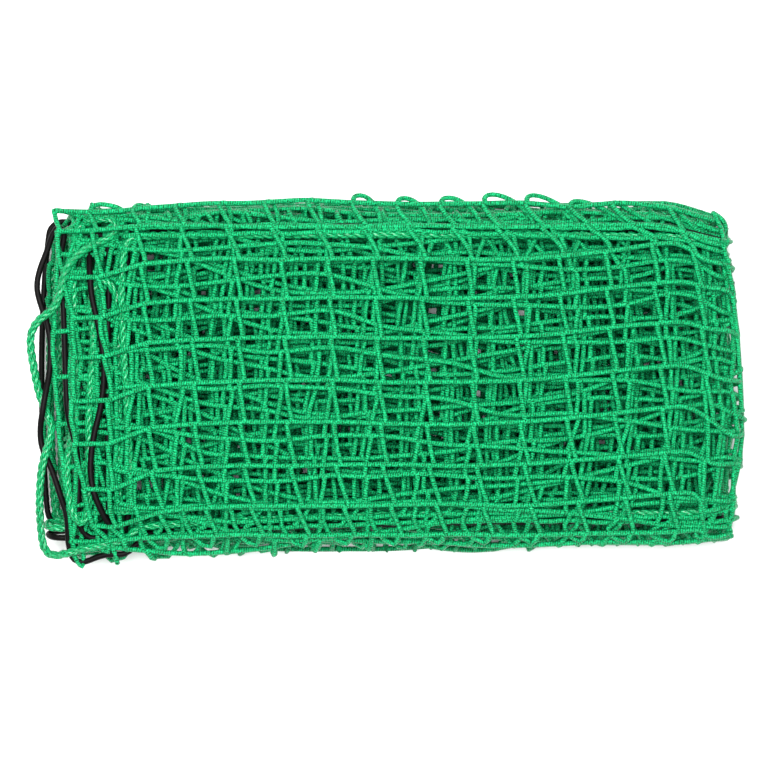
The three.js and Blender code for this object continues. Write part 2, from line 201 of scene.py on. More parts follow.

# %% [markdown]
# ## The cords' routes
# The rope and the elastic run round the net's edge. Along the long sides they lie in the folds, and
# the folded strip carries them back and forth five times across both short edges. A simulation
# would drop them in other loops than those that show, so the top edge's points are given one by one.

# %% Routes across the top short edge
TOP_EDGE_HEIGHT = 70.8
TOP_EDGE_ROUTES = {
    "elastic": [
        (-240, -157, 7.5), (-250, -167, 7.5), (-265, -166, 8), (-278, -169, 6),
        (-291, -175, 4.5), (-302, -172, 3.6), (-306, -155, 3.6), (-305, -130, 3.6),
        (-312, -108, 3.6), (-320, -83, 3.6), (-329, -65, 3.6),
        (-331, -52, 3.6), (-330, -40, 8), (-328, -30, 12), (-326, -18, 12.5), (-324, -5, 9),
        (-322, 8, 4.5), (-321, 24, 3.6), (-321, 40, 3.6), (-325, 60, 3.6), (-331, 75, 3.6),
        (-335, 92, 3.6), (-331, 110, 3.6), (-325, 125, 4), (-321, 141, 4), (-315, 151, 4),
        (-308, 145, 3.6), (-311, 128, 3.6), (-314, 100, 3.6), (-309, 82, 3.6), (-308, 55, 3.6),
        (-307, 20, 3.6), (-306, -8, 3.6), (-305, -25, 5), (-302, -38, 10.5), (-299, -48, 13),
        (-296, -60, 12), (-294, -76, 7), (-294, -100, 3.6), (-295, -135, 3.6), (-289, -149, 3.6),
        (-278, -152, 3.6), (-269, -145, 3.6), (-266, -130, 3.6), (-266, -90, 3.6), (-266, -45, 3.6),
        (-266, 0, 3.6), (-266, 45, 3.6), (-265, 90, 3.6), (-265, 125, 3.6), (-270, 140, 3.6),
        (-279, 144, 3.6), (-285, 138, 3.6), (-284, 126, 3.6), (-283, 112, 8), (-282, 98, 12),
        (-281, 84, 12.4), (-277, 66, 12.4), (-271, 40, 12.4), (-268, 8, 12.4), (-271, -22, 12.4),
        (-278, -48, 12.4), (-282, -75, 12.4), (-281, -98, 12.4), (-274, -119, 12.4), (-264, -139, 12),
        (-255, -146, 9), (-248, -138, 4.6), (-246, -122, 3.6), (-246, -60, 3.6), (-246, 0, 3.6),
        (-246, 60, 3.6), (-247, 115, 3.6), (-249, 132, 3.6), (-248, 143, 6), (-242, 150, 11),
    ],
    "rope": [
        (-240, -142, 8.5), (-248, -151, 8.5), (-262, -156, 10.5),
        (-276, -158, 12.6), (-292, -161, 12.6), (-305, -165, 12.2), (-318, -168, 8),
        (-327, -165, 5), (-331, -154, 4.6), (-332, -128, 4.6),
        (-331, -98, 5), (-329, -83, 10), (-326, -72, 12.5), (-322, -60, 11.5), (-319, -47, 6),
        (-322, -35, 4.2), (-328, -22, 4.2), (-333, -8, 4.2), (-338, 18, 4.2), (-341, 40, 4.2),
        (-338, 52, 6), (-330, 61, 12), (-320, 67, 12.4), (-313, 77, 12.4), (-309, 92, 12.4),
        (-306, 108, 13.2), (-294, 122, 13), (-283, 130, 12), (-272, 135, 11.6), (-262, 140, 11.6),
        (-256, 149, 10.5), (-262, 157, 7), (-275, 158, 4.6), (-291, 153, 4.4), (-299, 140, 4.4),
        (-300, 115, 4.4), (-298, 80, 4.4), (-297, 40, 4.4), (-296, 0, 4.4), (-296, -25, 4.2),
        (-298, -42, 4.2), (-302, -60, 4.2), (-305, -75, 4.4), (-305, -92, 4.4), (-303, -112, 5),
        (-299, -128, 10.5), (-292, -137, 12.4), (-286, -130, 10), (-284, -112, 4.6), (-284, -60, 4.4),
        (-284, -20, 4.4), (-281, 20, 4.4), (-279, 45, 4.4), (-282, 66, 4.4), (-281, 86, 4.4),
        (-276, 96, 7), (-269, 99, 12.4), (-262, 93, 12.4), (-257, 80, 5.4), (-256, 60, 4.4),
        (-256, 0, 4.4), (-256, -60, 4.4), (-256, -108, 4.4), (-254, -121, 7), (-248, -126, 12),
        (-244, -117, 12.6), (-244, -95, 12.6), (-246, -30, 12.6), (-250, 33, 12.6), (-250, 48, 12.6),
        (-252, 75, 12.8), (-251, 110, 12.6), (-249, 128, 14.6), (-242, 139, 14.9),
    ],
}
print("top edge points:", {name: len(rows) for name, rows in TOP_EDGE_ROUTES.items()})

# %% [markdown]
# ## The lowest short edge
# This edge lies under the whole bundle and doesn't show, so it is laid out neatly. Straight runs
# and arcs need only a few numbers, where a list of points would just look precise.

# %% Routes across the lowest short edge
CORD_PITCH = 8.2
EDGE_TO_CORDS = 12.0
TURN_AFTER = {"rope": 8.4, "elastic": 10.0}
# Each run's direction, the cord that lies nearer the net's edge, and the height of both.
EDGE_RUNS = [
    ("to near", "rope", 7.5),
    ("to far", "elastic", 4.6),
    ("to near", "rope", 9.0),
    ("to far", "elastic", 14.0),
    ("to near", "rope", 12.0),
]
FAR_RUN_END = 150.0
NEAR_RUN_END = -105.0
CORNER_RADIUS = {"elastic": 14.2, "rope": 6.0}
SIDE_INSET = {"elastic": 16.0, "rope": 16.0 + CORD_PITCH}
RUN_STEPS = 5
CORNER_STEPS = 3
TURN_STEPS = 6


def run_distances(cord):
    """How far past the net's low end a cord lies on each of its five runs."""
    distances = []
    reach = EDGE_TO_CORDS
    for _, first, _ in EDGE_RUNS:
        distances.append(reach if cord == first else reach + CORD_PITCH)
        reach += CORD_PITCH + TURN_AFTER[first]
    return distances


def arc(centre, radius, quarters, steps, heights):
    """Points of an arc in the XY plane, without its two ends."""
    part = np.arange(1, steps) / steps
    angle = np.pi / 2 * (quarters[0] + (quarters[1] - quarters[0]) * part)
    height = heights[0] + (heights[1] - heights[0]) * part
    x = centre[0] + radius * np.cos(angle)
    y = centre[1] + radius * np.sin(angle)
    return np.column_stack([x, y, height])


def low_edge_route(cord):
    """A cord's five runs and their turns across the lowest short edge, from the far side."""
    radius = CORNER_RADIUS[cord]
    far_corner = FAR_FOLD_Y - SIDE_INSET[cord] - radius
    near_corner = NEAR_FOLD_Y + SIDE_INSET[cord] + radius
    places = [LOW_END_X - distance for distance in run_distances(cord)]
    first = (EDGE_RUNS[0][2],) * 2
    parts = [arc((places[0] + radius, far_corner), radius, (1, 2), CORNER_STEPS, first)]
    for index, (runs, _, height) in enumerate(EDGE_RUNS):
        to_near = runs == "to near"
        last = index == len(EDGE_RUNS) - 1
        start = far_corner if index == 0 else (FAR_RUN_END if to_near else NEAR_RUN_END)
        end = near_corner if last else (NEAR_RUN_END if to_near else FAR_RUN_END)
        y = np.linspace(start, end, RUN_STEPS + 1)
        parts.append(np.column_stack([np.full_like(y, places[index]), y, np.full_like(y, height)]))
        if last:
            centre = (places[index] + radius, end)
            parts.append(arc(centre, radius, (2, 3), CORNER_STEPS, (height,) * 2))
            break
        turn = (places[index] - places[index + 1]) / 2
        quarters = (0, -2) if to_near else (0, 2)
        heights = (height, EDGE_RUNS[index + 1][2])
        parts.append(arc((places[index] - turn, end), turn, quarters, TURN_STEPS, heights))
    return np.vstack(parts)


print("low edge points:", len(low_edge_route("rope")), len(low_edge_route("elastic")))

# %% [markdown]
# ## Both cords from end to end
# The parts are joined in the order in which a cord runs. A spline could overshoot at the bends, and
# cutting the corners of the line a few times keeps it inside its points.

# %% Whole routes
STRIP_STEPS = 5
FOLD_STEPS = 6
TOP_END_X = -234.0
JOINT_GAP = 4.0
JOINT_STATION = 2
CORNER_CUT = 0.25
CORNER_CUTS = 3


def fold_line(y, height):
    """A line along the whole strip, at one place across it, from the low end to the top end."""
    offset = height - SECTION_MIDDLE
    points = []
    for strip in range(STRIP_COUNT):
        up = 1 if strip % 2 == 0 else -1
        last = strip == STRIP_COUNT - 1
        middle = FIRST_MIDDLE + strip * STRIP_PITCH
        start = LOW_END_X if strip == 0 else (LEFT_TURN_X if up > 0 else RIGHT_TURN_X)
        end = TOP_END_X if last else (RIGHT_TURN_X if up > 0 else LEFT_TURN_X)
        for step in range(0 if strip == 0 else 1, STRIP_STEPS + 1):
            points.append((start + (end - start) * step / STRIP_STEPS, y, middle + up * offset))
        if last:
            break
        radius = STRIP_PITCH / 2 - up * offset
        for step in range(1, FOLD_STEPS + 1):
            angle = math.pi * (step / FOLD_STEPS - 0.5)
            z = middle + STRIP_PITCH / 2 + radius * math.sin(angle)
            points.append((end + up * radius * math.cos(angle), y, z))
    return np.array(points, float)


def cord_route(cord):
    """A cord's whole way round the net's edge, as the CAD has it."""
    inset = SIDE_INSET[cord]
    far = fold_line(FAR_FOLD_Y - inset, WIDE_RISE / 2)
    near = fold_line(NEAR_FOLD_Y + inset, SECTION_RISE - WIDE_RISE / 2)
    gap = np.array([JOINT_GAP / 2, 0, 0])
    joint = far[JOINT_STATION]
    low = np.vstack([joint - gap, far[:JOINT_STATION][::-1], low_edge_route(cord), near])
    last = np.vstack([far[JOINT_STATION + 1:][::-1], joint + gap])
    top = np.array(TOP_EDGE_ROUTES[cord], float) + (0, 0, TOP_EDGE_HEIGHT)
    return np.vstack([uneven(low), top, uneven(last)])


def rounded(points):
    """Cuts the corners of a line again and again, so that it bends smoothly."""
    for _ in range(CORNER_CUTS):
        start, end = points[:-1], points[1:]
        after = (1 - CORNER_CUT) * start + CORNER_CUT * end
        before = CORNER_CUT * start + (1 - CORNER_CUT) * end
        cut = np.stack([after, before], 1).reshape(-1, 3)
        points = np.vstack([points[:1], cut, points[-1:]])
    return points


def lengths_along(points):
    """The length along a line at each of its points."""
    return np.concatenate([[0], np.cumsum(np.linalg.norm(np.diff(points, axis=0), axis=1))])


def evenly_spaced(points, spacing):
    """The same line with a point every so many millimetres."""
    length = lengths_along(points)
    stops = np.linspace(0, length[-1], int(length[-1] / spacing) + 1)
    return np.column_stack([np.interp(stops, length, points[:, axis]) for axis in range(3)])


def cord_line(cord, spacing):
    """The cord's centre line in the bundle."""
    return evenly_spaced(settle(round_corners(rounded(cord_route(cord)) + FRAME_SHIFT)), spacing)


for name in TOP_EDGE_ROUTES:
    print(name, "is", round(float(lengths_along(cord_line(name, 5))[-1]) * MM, 2), "m long")

# %% [markdown]
# ## Twine tubes
# A net has thousands of short round twines, too many to be objects of their own. Python lays out
# lines of points, and Geometry Nodes draws a small circle along all of them at once. The length
# along the twine is kept in the UV map, for the ribs.

# %% A node tree that turns lines into tubes
SIDES_SOCKET = "Sides"
# Each wire: the node and output that it leaves, and the node and input that it reaches.
TUBE_WIRES = [
    ("in", "Geometry", "to_curve", "Mesh"), ("to_curve", "Curve", "keep_along", "Geometry"),
    ("along", "Length", "keep_along", "Value"), ("in", SIDES_SOCKET, "circle", "Resolution"),
    ("circle", "Curve", "keep_round", "Geometry"), ("round", "Factor", "keep_round", "Value"),
    ("keep_along", "Geometry", "tube", "Curve"), ("keep_round", "Geometry", "tube", "Profile Curve"),
    ("radius", "Attribute", "tube", "Scale"), ("tube", "Mesh", "uv", "Geometry"),
    ("get_along", "Attribute", "join", "X"), ("get_round", "Attribute", "join", "Y"),
    ("join", "Vector", "uv", "Value"), ("uv", "Geometry", "out", "Geometry"),
]


def tube_tree():
    """Geometry nodes: lines in, round tubes with closed ends and their own UV map out."""
    tree = bpy.data.node_groups.new("line_to_tube", "GeometryNodeTree")
    tree.interface.new_socket("Geometry", in_out="INPUT", socket_type="NodeSocketGeometry")
    tree.interface.new_socket(SIDES_SOCKET, in_out="INPUT", socket_type="NodeSocketInt")
    tree.interface.new_socket("Geometry", in_out="OUTPUT", socket_type="NodeSocketGeometry")
    node = {}

    def add(name, kind):
        node[name] = tree.nodes.new(kind)
        return node[name]

    def read(name, value):
        add(name, "GeometryNodeInputNamedAttribute").data_type = "FLOAT"
        node[name].inputs["Name"].default_value = value

    def keep(name, value, kind="FLOAT", domain="POINT"):
        add(name, "GeometryNodeStoreNamedAttribute").data_type = kind
        node[name].domain = domain
        node[name].inputs["Name"].default_value = value

    def wire(source, output, target, socket):
        tree.links.new(node[source].outputs[output], node[target].inputs[socket])

    add("in", "NodeGroupInput")
    add("out", "NodeGroupOutput")
    read("radius", "twine")
    add("to_curve", "GeometryNodeMeshToCurve")
    add("along", "GeometryNodeSplineParameter")
    keep("keep_along", "along")
    add("circle", "GeometryNodeCurvePrimitiveCircle").inputs["Radius"].default_value = 1.0
    add("round", "GeometryNodeSplineParameter")
    keep("keep_round", "round")
    add("tube", "GeometryNodeCurveToMesh").inputs["Fill Caps"].default_value = True
    read("get_along", "along")
    read("get_round", "round")
    add("join", "ShaderNodeCombineXYZ")
    keep("uv", "UVMap", "FLOAT2", "CORNER")
    for row in TUBE_WIRES:
        wire(*row)
    return tree


TUBE_TREE = tube_tree()
print("tube tree nodes:", len(TUBE_TREE.nodes))

# %% [markdown]
# ## From lines to a mesh
# The modifier could stay on the piece, but a plain mesh is the same in every tool. The values that
# only the tree needed are removed from it.

# %% Lines to a finished mesh piece
LINE_VALUES = ("along", "round", "twine")


def line_mesh(name, lines, radii):
    """A mesh of points and edges only, with the tube's radius kept at each point."""
    points = np.vstack(lines) * MM
    counts = np.array([len(line) for line in lines])
    starts = np.concatenate([[0], np.cumsum(counts)[:-1]])
    first = np.setdiff1d(np.arange(len(points)), starts + counts - 1)
    mesh = bpy.data.meshes.new(name)
    mesh.vertices.add(len(points))
    mesh.vertices.foreach_set("co", points.ravel())
    mesh.edges.add(len(first))
    mesh.edges.foreach_set("vertices", np.column_stack([first, first + 1]).ravel())
    twine = mesh.attributes.new("twine", "FLOAT", "POINT")
    twine.data.foreach_set("value", np.concatenate(radii) * MM)
    return mesh


def tube_piece(name, lines, radii, sides, material):
    """One mesh piece of tubes, from lists of lines in millimetres and of their radii."""
    mesh = line_mesh(name, lines, radii)
    piece = bpy.data.objects.new(name, mesh)
    bpy.context.scene.collection.objects.link(piece)
    modifier = piece.modifiers.new("tube", "NODES")
    modifier.node_group = TUBE_TREE
    sockets = {item.name: item.identifier for item in TUBE_TREE.interface.items_tree}
    modifier[sockets[SIDES_SOCKET]] = sides
    bpy.context.view_layer.update()
    result = piece.evaluated_get(bpy.context.evaluated_depsgraph_get())
    finished = bpy.data.meshes.new_from_object(result)
    piece.modifiers.clear()
    piece.data = finished
    bpy.data.meshes.remove(mesh)
    finished.name = name
    for extra in [item.name for item in finished.attributes if item.name in LINE_VALUES]:
        finished.attributes.remove(finished.attributes[extra])
    finished.shade_smooth()
    finished.materials.clear()
    finished.materials.append(material)
    triangles = sum(len(face.vertices) - 2 for face in finished.polygons)
    print(name, "lines:", len(lines), "triangles:", triangles)
    return piece


print("values removed from a finished piece:", LINE_VALUES)

# %% [markdown]
# ## Finishes
# Net, rope and elastic are knitted, spun or braided, with stitches under a millimetre wide. Modelled
# stitches would be too many, so one node group draws ribs along the UV map, and a fine speckle.
# Both make the bump, and both are painted into the colour as painted shade in the rib grooves and
# painted highlights on the rib tops and specks.

# %% A shared group for ribs, speckle and their painted shade and highlights
SPECKLE_DETAIL = 2.0
SPECKLE_ROUGHNESS = 0.7
SPECKLE_RANGE = (0.40, 0.60)
# The two colour inputs are a painted shade for the rib grooves and a painted highlight for the rib
# tops and specks.
FIBRE_SOCKETS = [
    ("Rib Pitch", "INPUT", "Float"), ("Rib Slant", "INPUT", "Float"),
    ("Speckle Scale", "INPUT", "Float"), ("Speckle Share", "INPUT", "Float"),
    ("Painted Shade", "INPUT", "Color"), ("Light", "INPUT", "Color"),
    ("Color", "OUTPUT", "Color"), ("Height", "OUTPUT", "Float"), ("Speckle", "OUTPUT", "Float"),
]


def fibre_group():
    """Shader group: ribs along the UV map with a slant and speckle from object coordinates, as bump
    and as painted shade and highlights.
    """
    group = bpy.data.node_groups.new("fibre_ribs_and_painted_shading", "ShaderNodeTree")
    for name, way, kind in FIBRE_SOCKETS:
        group.interface.new_socket(name, in_out=way, socket_type="NodeSocket" + kind)
    nodes, links = group.nodes, group.links
    given = nodes.new("NodeGroupInput")
    made = nodes.new("NodeGroupOutput")

    def calc(operation, *values):
        node = nodes.new("ShaderNodeMath")
        node.operation = operation
        for index, value in enumerate(values):
            if isinstance(value, (int, float)):
                node.inputs[index].default_value = value
            else:
                links.new(value, node.inputs[index])
        return node.outputs[0]

    uv = nodes.new("ShaderNodeUVMap")
    uv.uv_map = "UVMap"
    split = nodes.new("ShaderNodeSeparateXYZ")
    links.new(uv.outputs["UV"], split.inputs[0])
    turns = calc("DIVIDE", split.outputs["X"], given.outputs["Rib Pitch"])
    slanted = calc("ADD", turns, calc("MULTIPLY", split.outputs["Y"], given.outputs["Rib Slant"]))
    wave = calc("SINE", calc("MULTIPLY", slanted, 2 * math.pi))
    rib = calc("MULTIPLY_ADD", wave, 0.5, 0.5)
    place = nodes.new("ShaderNodeTexCoord")
    speckle = nodes.new("ShaderNodeTexNoise")
    speckle.inputs["Detail"].default_value = SPECKLE_DETAIL
    speckle.inputs["Roughness"].default_value = SPECKLE_ROUGHNESS
    links.new(place.outputs["Object"], speckle.inputs["Vector"])
    links.new(given.outputs["Speckle Scale"], speckle.inputs["Scale"])
    speckle_spread = nodes.new("ShaderNodeMapRange")
    speckle_spread.inputs["From Min"].default_value = SPECKLE_RANGE[0]
    speckle_spread.inputs["From Max"].default_value = SPECKLE_RANGE[1]
    links.new(speckle.outputs["Fac"], speckle_spread.inputs["Value"])
    speckled = calc("MULTIPLY", speckle_spread.outputs[0], given.outputs["Speckle Share"])
    ribbed = calc("MULTIPLY", rib, calc("SUBTRACT", 1.0, given.outputs["Speckle Share"]))
    height = calc("ADD", speckled, ribbed)
    # The colour is a mix of painted shade in the rib grooves and painted highlights on the rib tops
    # and specks.
    shade_and_highlight_mix = nodes.new("ShaderNodeMix")
    shade_and_highlight_mix.data_type = "RGBA"
    links.new(height, shade_and_highlight_mix.inputs["Factor"])
    links.new(given.outputs["Painted Shade"], shade_and_highlight_mix.inputs["A"])
    links.new(given.outputs["Light"], shade_and_highlight_mix.inputs["B"])
    links.new(shade_and_highlight_mix.outputs["Result"], made.inputs["Color"])
    links.new(height, made.inputs["Height"])
    links.new(speckle.outputs["Fac"], made.inputs["Speckle"])
    return group


FIBRE_GROUP = fibre_group()
print("fibre group nodes:", len(FIBRE_GROUP.nodes))

# %% [markdown]
# ## The three finishes
# The twine reflects little, the rope is glossy and the elastic's cover is almost black. Separate
# materials would repeat the same nodes, so one function makes all three from a few values.

# %% One material from the group


def fibre_material(name, painted_shade, painted_highlight, rib_pitch, rib_slant, speckle, bump, roughness,
                   specular=0.5, tint=(1, 1, 1)):
    """A spun or knitted finish with painted shade and highlights. Speckle is scale and share, bump is
    strength and millimetres.
    """
    material = bpy.data.materials.new(name)
    material.use_nodes = True
    nodes, links = material.node_tree.nodes, material.node_tree.links
    shader = nodes["Principled BSDF"]
    group = nodes.new("ShaderNodeGroup")
    group.node_tree = FIBRE_GROUP
    given = {"Rib Pitch": rib_pitch * MM, "Rib Slant": rib_slant, "Speckle Scale": speckle[0],
             "Speckle Share": speckle[1], "Painted Shade": (*painted_shade, 1), "Light": (*painted_highlight, 1)}
    for socket, value in given.items():
        group.inputs[socket].default_value = value
    links.new(group.outputs["Color"], shader.inputs["Base Color"])
    height = nodes.new("ShaderNodeBump")
    height.inputs["Strength"].default_value = bump[0]
    height.inputs["Distance"].default_value = bump[1] * MM
    links.new(group.outputs["Height"], height.inputs["Height"])
    links.new(height.outputs["Normal"], shader.inputs["Normal"])
    spread = nodes.new("ShaderNodeMapRange")
    spread.inputs["To Min"].default_value = roughness[0]
    spread.inputs["To Max"].default_value = roughness[1]
    links.new(group.outputs["Speckle"], spread.inputs["Value"])
    links.new(spread.outputs[0], shader.inputs["Roughness"])
    shader.inputs["Specular IOR Level"].default_value = specular
    shader.inputs["Specular Tint"].default_value = (*tint, 1)
    return material


# In all three finishes the darker colour is painted shade in the rib grooves and the lighter one a
# painted highlight on the rib tops and specks.
NET_TWINE = fibre_material(
    "knitted_green_twine",
    painted_shade=(0.000, 0.03, 0.003), painted_highlight=(0.013, 0.51, 0.204), rib_pitch=2.3, rib_slant=1.0,
    speckle=(520.0, 0.52), bump=(1.0, 0.8), roughness=(0.25, 0.45), specular=0.32,
    tint=(0.62, 1.0, 0.72),
)
ROPE_FIBRE = fibre_material(
    "twisted_green_rope",
    painted_shade=(0.000, 0.05, 0.008), painted_highlight=(0.012, 0.46, 0.18), rib_pitch=4.0, rib_slant=5.0,
    speckle=(500.0, 0.4), bump=(0.7, 0.3), roughness=(0.2, 0.42),
)
ELASTIC_COVER = fibre_material(
    "black_braided_cover",
    painted_shade=(0.0015, 0.0013, 0.0013), painted_highlight=(0.008, 0.007, 0.007), rib_pitch=1.2, rib_slant=8.0,
    speckle=(900.0, 0.4), bump=(0.5, 0.2), roughness=(0.4, 0.6), specular=0.13,
)
print("finishes:", [item.name for item in (NET_TWINE, ROPE_FIBRE, ELASTIC_COVER)])

# %% [markdown]
# ## The rope
# Three strands wind round each other. A bump on a plain tube would look smooth at its edges, so
# each strand is a line that circles the rope's centre line, and the twist shows in the outline.

# %% Frames along a line, and the three strands
ROPE_STRANDS = 3
STRAND_RADIUS = 2.15
STRAND_ORBIT = 2.15
STRAND_SIDES = 6
ROPE_LAY = 27.0
ROPE_SPACING = 3.0


def frames_along(points):
    """Two directions square to a line at each of its points, that twist as little as they can."""
    along = np.gradient(points, axis=0)
    along /= np.linalg.norm(along, axis=1)[:, None]
    side = np.zeros_like(along)
    side[0] = np.cross(along[0], (0, 0, 1.0))
    side[0] /= np.linalg.norm(side[0])
    for index in range(1, len(points)):
        turned = side[index - 1] - along[index] * np.dot(side[index - 1], along[index])
        side[index] = turned / np.linalg.norm(turned)
    return side, np.cross(along, side)


def rope_strands():
    """The centre lines of the rope's strands."""
    line = cord_line("rope", ROPE_SPACING)
    side, up = frames_along(line)
    turn = 2 * np.pi * np.arange(len(line)) * ROPE_SPACING / ROPE_LAY
    strands = []
    for index in range(ROPE_STRANDS):
        angle = turn + 2 * np.pi * index / ROPE_STRANDS
        outwards = np.cos(angle)[:, None] * side + np.sin(angle)[:, None] * up
        strands.append(line + STRAND_ORBIT * outwards)
    return strands


STRANDS = rope_strands()
STRAND_RADII = [np.full(len(line), STRAND_RADIUS) for line in STRANDS]
ROPE = tube_piece("twisted_rope", STRANDS, STRAND_RADII, STRAND_SIDES, ROPE_FIBRE)

# %% [markdown]
# ## The elastic
# The elastic is a round rubber core under a tight braided cover. The braid is too fine to show in
# the outline, so the cord is a plain tube with the braid in its finish.

# %% The elastic cord
ELASTIC_RADIUS = 2.9
ELASTIC_SPACING = 4.0
ELASTIC_SIDES = 12
ELASTIC_LINE = cord_line("elastic", ELASTIC_SPACING)
ELASTIC_RADII = np.full(len(ELASTIC_LINE), ELASTIC_RADIUS)
ELASTIC = tube_piece("braided_elastic", [ELASTIC_LINE], [ELASTIC_RADII], ELASTIC_SIDES, ELASTIC_COVER)

# %% [markdown]
# ## The net's own coordinates
# The flat net is a grid. A place on it is a column number, counted from the top short edge, and a
# row number, counted from the long edge that is tucked into the far folds. Both may be fractions. A
# simulation could fold the net, but the top joints would end up anywhere. Here the folds are a
# function from the grid to space, so a twine that is laid out flat folds up with them.

# %% Rows across the folded section
ROW_COUNT = 46.05
# The row at the start of each layer, and at the end of the last one.
FOLD_ROWS = [0.0, 9.88, 19.0, 28.2, 37.3, ROW_COUNT]
# Each layer's line across the strip: places across it, with their heights in the section.
LAYER_LINES = [
    [(150.4, 1.8), (137.0, 2.2), (122.0, 6.0), (NEAR_FOLD_Y, TIGHT_RISE)],
    [(NEAR_FOLD_Y, 0.0), (FAR_FOLD_Y, 0.0)],
    [(FAR_FOLD_Y, WIDE_RISE), (NEAR_FOLD_Y, 2 * TIGHT_RISE)],
    [(NEAR_FOLD_Y, SECTION_RISE), (FAR_FOLD_Y, SECTION_RISE)],
    [(FAR_FOLD_Y, SECTION_RISE - TIGHT_RISE), (-108.0, 14.0), (-123.0, 9.6), (-137.0, 9.0)],
]
FOLD_SAMPLES = 8
LAYER_SAMPLES = 120
ROW_CROWDING = 0.2
EDGE_GATHER = 7.6
EDGE_EASE = 2.0


def half_fold(layer, ending):
    """The half of a side fold that belongs to a layer, at its start or its end."""
    neighbour = layer + 1 if ending else layer - 1
    if not 0 <= neighbour < LAYER_COUNT:
        return np.zeros((0, 2))
    here = LAYER_LINES[layer][-1 if ending else 0]
    there = LAYER_LINES[neighbour][0 if ending else -1]
    radius = (there[1] - here[1]) / 2
    outwards = 1 if here[0] > 0 else -1
    angle = np.linspace(-np.pi / 2, 0, FOLD_SAMPLES)[1:]
    if not ending:
        angle = angle[::-1]
    y = here[0] + outwards * abs(radius) * np.cos(angle)
    return np.column_stack([y, here[1] + radius + radius * np.sin(angle)])


def row_stops(layer, t, length):
    """How far along a layer its rows lie. The meshes at the net's two edges are drawn together."""
    even = (t - ROW_CROWDING * np.sin(2 * np.pi * t) / (2 * np.pi)) * length
    if layer == 0:
        row = t * (FOLD_ROWS[1] - FOLD_ROWS[0])
        first = EDGE_GATHER - np.interp(1, row, even)
        eased = even + first * np.clip(1 - (row - 1) / EDGE_EASE, 0, 1)
        return np.maximum(eased, EDGE_GATHER * row)
    if layer == LAYER_COUNT - 1:
        return length - row_stops(0, 1 - t[::-1], length)[::-1]
    return even


def section_table():
    """Row numbers with their place across the strip and their height in the section."""
    rows, places = [], []
    t = np.linspace(0, 1, LAYER_SAMPLES)
    for layer, middle in enumerate(LAYER_LINES):
        line = np.vstack([half_fold(layer, False), middle, half_fold(layer, True)])
        length = lengths_along(line)
        stop = row_stops(layer, t, length[-1])
        rows.append(FOLD_ROWS[layer] + t * (FOLD_ROWS[layer + 1] - FOLD_ROWS[layer]))
        places.append(np.column_stack([np.interp(stop, length, line[:, axis]) for axis in (0, 1)]))
    return np.concatenate(rows), np.vstack(places)


SECTION_ROWS, SECTION_PLACES = section_table()
print("rows:", ROW_COUNT, "samples:", len(SECTION_ROWS))

# %% [markdown]
# ## Unevenness
# Smooth seeded noise on the grid moves neighbouring twines alike, where noise in space would pull
# apart what is tied together. Wide waves bend whole rows, small ones move single joints, and a slow
# drift shifts the layers so that they don't line up.

# %% Noise on the grid
NOISE_SIDE = 90
NOISE_START = 8.0
DRIFT_STEP = 6.0


def grid_noise(seed, step):
    """A smooth random value between -1 and 1 for every place on the net, one draw each step."""
    draws = np.random.default_rng(seed).uniform(-1, 1, (NOISE_SIDE, NOISE_SIDE))

    def value(column, row):
        a = np.asarray(column) / step + NOISE_START
        b = np.asarray(row) / step + NOISE_START
        a0, b0 = np.floor(a).astype(int), np.floor(b).astype(int)
        fa, fb = smooth(a - a0, 0, 1), smooth(b - b0, 0, 1)
        a0, b0 = a0 % (NOISE_SIDE - 1), b0 % (NOISE_SIDE - 1)
        low = draws[a0, b0] * (1 - fa) + draws[a0 + 1, b0] * fa
        high = draws[a0, b0 + 1] * (1 - fa) + draws[a0 + 1, b0 + 1] * fa
        return low * (1 - fb) + high * fb

    return value


WIDE_X, WIDE_Y, WIDE_Z = [grid_noise(*row) for row in ((11, 2.7), (12, 2.7), (13, 3.5))]
NODE_X, NODE_Y, NODE_Z = [grid_noise(*row) for row in ((21, 1.2), (22, 1.2), (23, 1.6))]
DRIFT_X, DRIFT_Y = [grid_noise(seed, DRIFT_STEP) for seed in (31, 32)]
print("noise at one place:", round(float(WIDE_X(3.3, 12.1)), 3))

# %% [markdown]
# ## The top layer
# Its rows and columns were read from the photograph. Every joint could be placed by itself,
# but rows and columns with a common bend say the same with far fewer numbers.

# %% The top layer, as the photograph shows it
MESH_SIZE = 44.5
SECOND_COLUMN_X = -229.7
# Rows of the top layer, from the near fold to the far one, and their places across the bundle.
TOP_ROWS = [9.88, 10, 11, 12, 13, 14, 15, 16, 17, 18, 19, 19.35]
TOP_ROW_Y = [-155, -145, -116.3, -78, -36.8, 3.3, 44.5, 81.8, 119.1, 151.7, 172.5, 174]
# How far the top layer's columns lean to the right on their way across, in places across it.
LEAN_Y = [-156, -138, -100, -65, -27, 8, 46, 82, 124, 151, 174]
LEAN_X = [24, 20, 12, 7, 5, 4, 2, 0, -2, -7, -12]
# The columns close up a little at the far edge, each by this much more than the last.
EDGE_SHEAR = -2.4
SHEAR_COLUMNS = 14
SHEAR_Y = (125.0, 174.0)
# Where the first two columns, the hem meshes, lie.
HEM_Y = [-156, -141, -116, -85, -45, -13, 24, 52, 84, 105, 137, 174]
HEM_X = [-262, -269, -282, -287, -298, -302, -299, -300, -302, -307, -315, -318]
FIRST_Y = [-156, -141, -101, -59, -17, 24, 66, 103, 137, 174]
FIRST_X = [-246, -254.6, -263, -263, -264, -265, -272, -271, -278, -284]
